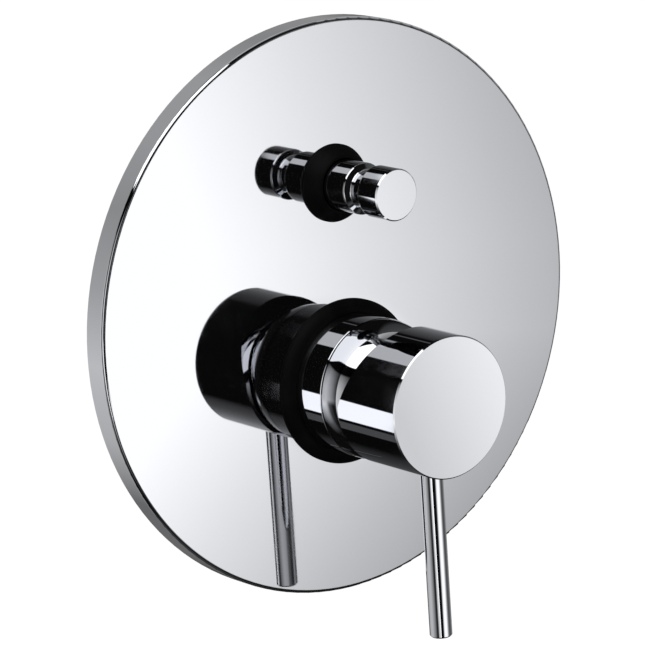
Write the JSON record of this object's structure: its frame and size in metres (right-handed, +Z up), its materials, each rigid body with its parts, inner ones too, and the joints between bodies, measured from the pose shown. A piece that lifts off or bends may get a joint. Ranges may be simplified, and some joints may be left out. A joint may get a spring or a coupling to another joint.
{
  "type": "concealed shower mixer",
  "caption": "Concealed shower mixer for a wall: round polished plate, single-lever handle on a ceramic disc cartridge, pull knob diverter, brass body with threaded ports.",
  "frame": {"origin": "centre of the round wall plate, on its back, in the plane of the finished wall", "axes": "+Z up, the front of the plate, handle and knob face -Y, the body lies in the wall at +Y, +X to the right as seen from the room"},
  "size_m": [0.18, 0.1157, 0.1879],
  "materials": {
    "chrome": "polished chrome plate",
    "black_rubber": "matte black rubber",
    "seal_rubber": "moulded seal rubber",
    "foam": "closed-cell foam",
    "cast_brass": "sand-cast brass",
    "turned_brass": "turned brass",
    "white_plastic": "moulded plastic",
    "grey_plastic": "moulded plastic",
    "ceramic": "lapped ceramic",
    "steel": "stainless steel"
  },
  "bodies": {
    "fixed": {"wall_plate": "chrome", "plate_seal": "foam", "mixer_gasket": "black_rubber", "diverter_gasket": "black_rubber", "sleeve": "chrome", "dome_cap": "chrome", "mixer_body": "cast_brass", "sleeve_o_ring": "seal_rubber", "cartridge_nut": "turned_brass", "cartridge_housing": "white_plastic", "cartridge_base": "white_plastic", "base_seals": "seal_rubber", "fixed_disc": "ceramic", "seat_sleeve": "turned_brass", "diverter_bonnet": "turned_brass", "bonnet_seal": "seal_rubber", "spindle_o_rings": "seal_rubber", "diverter_spring": "steel"},
    "turning_collar": {"spindle_collar": "grey_plastic", "spindle_pin": "steel"},
    "handle": {"lever_spindle": "steel", "handle": "chrome", "lever": "chrome", "grub_screw": "steel"},
    "disc": {"disc_carrier": "grey_plastic", "moving_disc": "ceramic"},
    "diverter": {"diverter_knob": "chrome", "diverter_spindle": "turned_brass", "diverter_valve": "turned_brass", "valve_washers": "seal_rubber", "valve_nut": "turned_brass"}
  },
  "joints": [
    {"name": "temperature_turn", "type": "hinge", "parent": "fixed", "child": "turning_collar", "pos_m": [0, -0.0227, -0.0234], "axis": [0, 1, 0], "range_deg": [-50, 50]},
    {"name": "flow_lift", "type": "hinge", "parent": "turning_collar", "child": "handle", "pos_m": [0, -0.0227, -0.0234], "axis": [-1, 0, 0], "range_deg": [0, 24]},
    {"name": "disc_slide", "type": "slide", "parent": "turning_collar", "child": "disc", "axis": [0, 0, -1], "range_m": [0, 0.0037]},
    {"name": "diverter_pull", "type": "slide", "parent": "fixed", "child": "diverter", "axis": [0, -1, 0], "range_m": [0, 0.007], "stiffness_N_per_m": 150, "springref_m": -0.01, "deforming": ["diverter_spring"]}
  ],
  "couplings": [
    {"joint": "disc_slide", "follows": "flow_lift", "m_per_rad": 0.0087391}
  ]
}
